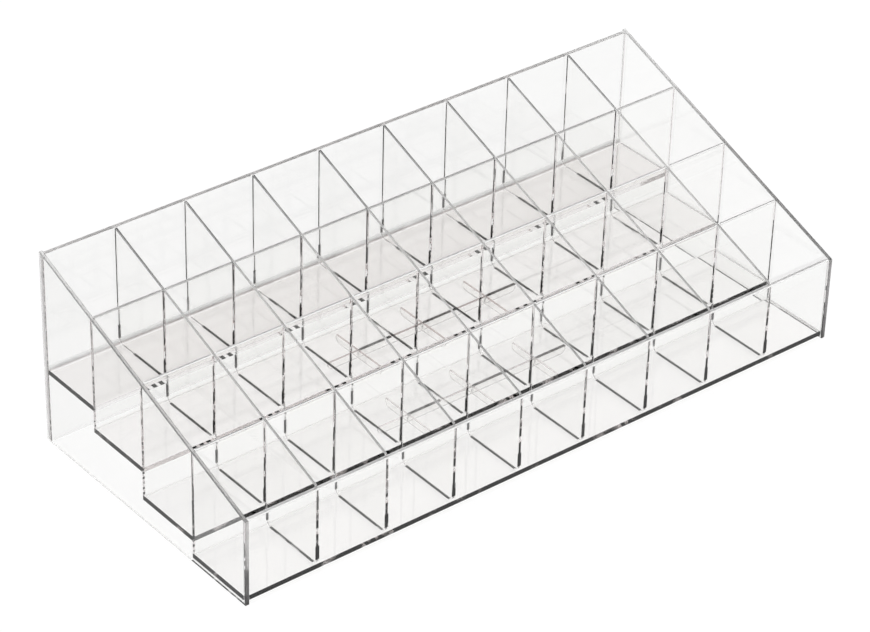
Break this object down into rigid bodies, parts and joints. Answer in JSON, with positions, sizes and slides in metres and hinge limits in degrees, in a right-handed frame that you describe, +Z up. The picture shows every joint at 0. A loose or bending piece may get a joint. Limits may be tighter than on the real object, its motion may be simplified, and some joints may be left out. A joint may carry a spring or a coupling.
{
  "type": "lipstick organizer",
  "caption": "Clear acrylic lipstick organizer: a stepped tray of bonded sheets with a sloping rim, split into upright compartments by half-lapped row walls and dividers.",
  "frame": {"origin": "on the table, under the middle of the tray's footprint", "axes": "+X along the width to the right, +Y to the back, +Z up"},
  "size_m": [0.215, 0.0954, 0.0635],
  "materials": {
    "clear_panel": "clear acrylic sheet, polished faces and edges",
    "clear_divider": "clear acrylic sheet, thinner, polished faces and edges"
  },
  "bodies": {
    "root": {"left_end_panel": "clear_panel", "right_end_panel": "clear_panel", "front_panel": "clear_panel", "back_panel": "clear_panel", "floor_1": "clear_panel", "floor_2": "clear_panel", "floor_3": "clear_panel", "floor_4": "clear_panel", "row_wall_1": "clear_divider", "row_wall_2": "clear_divider", "row_wall_3": "clear_divider", "divider_1": "clear_divider", "divider_2": "clear_divider", "divider_3": "clear_divider", "divider_4": "clear_divider", "divider_5": "clear_divider", "divider_6": "clear_divider", "divider_7": "clear_divider", "divider_8": "clear_divider", "stiffener_rail_2": "clear_divider", "stiffener_rail_3": "clear_divider", "cross_strip_2_4": "clear_divider", "cross_strip_2_5": "clear_divider", "cross_strip_2_6": "clear_divider", "cross_strip_3_4": "clear_divider", "cross_strip_3_5": "clear_divider", "cross_strip_3_6": "clear_divider"}
  },
  "joints": []
}
